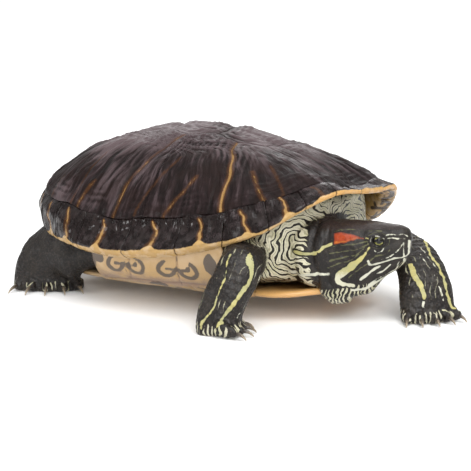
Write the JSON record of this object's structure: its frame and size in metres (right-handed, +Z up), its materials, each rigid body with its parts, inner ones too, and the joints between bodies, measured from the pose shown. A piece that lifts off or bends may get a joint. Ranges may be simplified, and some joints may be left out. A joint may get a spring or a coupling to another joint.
{
  "type": "red-eared slider turtle",
  "caption": "Life-size red-eared slider turtle standing with one foreleg forward, domed plated shell, striped skin and a red patch behind each eye.",
  "frame": {"origin": "on the floor under the middle of the model's box", "axes": "+Z up, head towards -Y, the animal's left side towards +X"},
  "size_m": [0.1574, 0.25, 0.0884],
  "materials": {
    "carapace_horn": "satin dark brown horn",
    "plastron_horn": "satin yellow horn",
    "skin": "dry scaly skin, olive black with pale stripes",
    "eye": "wet gloss"
  },
  "bodies": {
    "root": {"vertebral_1": "carapace_horn", "vertebral_2": "carapace_horn", "vertebral_3": "carapace_horn", "vertebral_4": "carapace_horn", "vertebral_5": "carapace_horn", "costal_left_1": "carapace_horn", "costal_left_2": "carapace_horn", "costal_left_3": "carapace_horn", "costal_left_4": "carapace_horn", "costal_right_1": "carapace_horn", "costal_right_2": "carapace_horn", "costal_right_3": "carapace_horn", "costal_right_4": "carapace_horn", "nuchal": "carapace_horn", "marginal_left_1": "carapace_horn", "marginal_right_1": "carapace_horn", "marginal_left_2": "carapace_horn", "marginal_right_2": "carapace_horn", "marginal_left_3": "carapace_horn", "marginal_right_3": "carapace_horn", "marginal_left_4": "carapace_horn", "marginal_right_4": "carapace_horn", "marginal_left_5": "carapace_horn", "marginal_right_5": "carapace_horn", "marginal_left_6": "carapace_horn", "marginal_right_6": "carapace_horn", "marginal_left_7": "carapace_horn", "marginal_right_7": "carapace_horn", "marginal_left_8": "carapace_horn", "marginal_right_8": "carapace_horn", "marginal_left_9": "carapace_horn", "marginal_right_9": "carapace_horn", "marginal_left_10": "carapace_horn", "marginal_right_10": "carapace_horn", "marginal_left_11": "carapace_horn", "marginal_right_11": "carapace_horn", "marginal_left_12": "carapace_horn", "marginal_right_12": "carapace_horn", "plastron": "plastron_horn", "trunk": "skin", "eye_left": "eye", "eye_right": "eye", "neck": "skin", "head": "skin", "foreleg_right": "skin", "forefoot_right": "skin", "foreleg_left": "skin", "forefoot_left": "skin", "hindleg_right": "skin", "hindfoot_right": "skin", "hindleg_left": "skin", "hindfoot_left": "skin", "tail": "skin"}
  },
  "joints": []
}
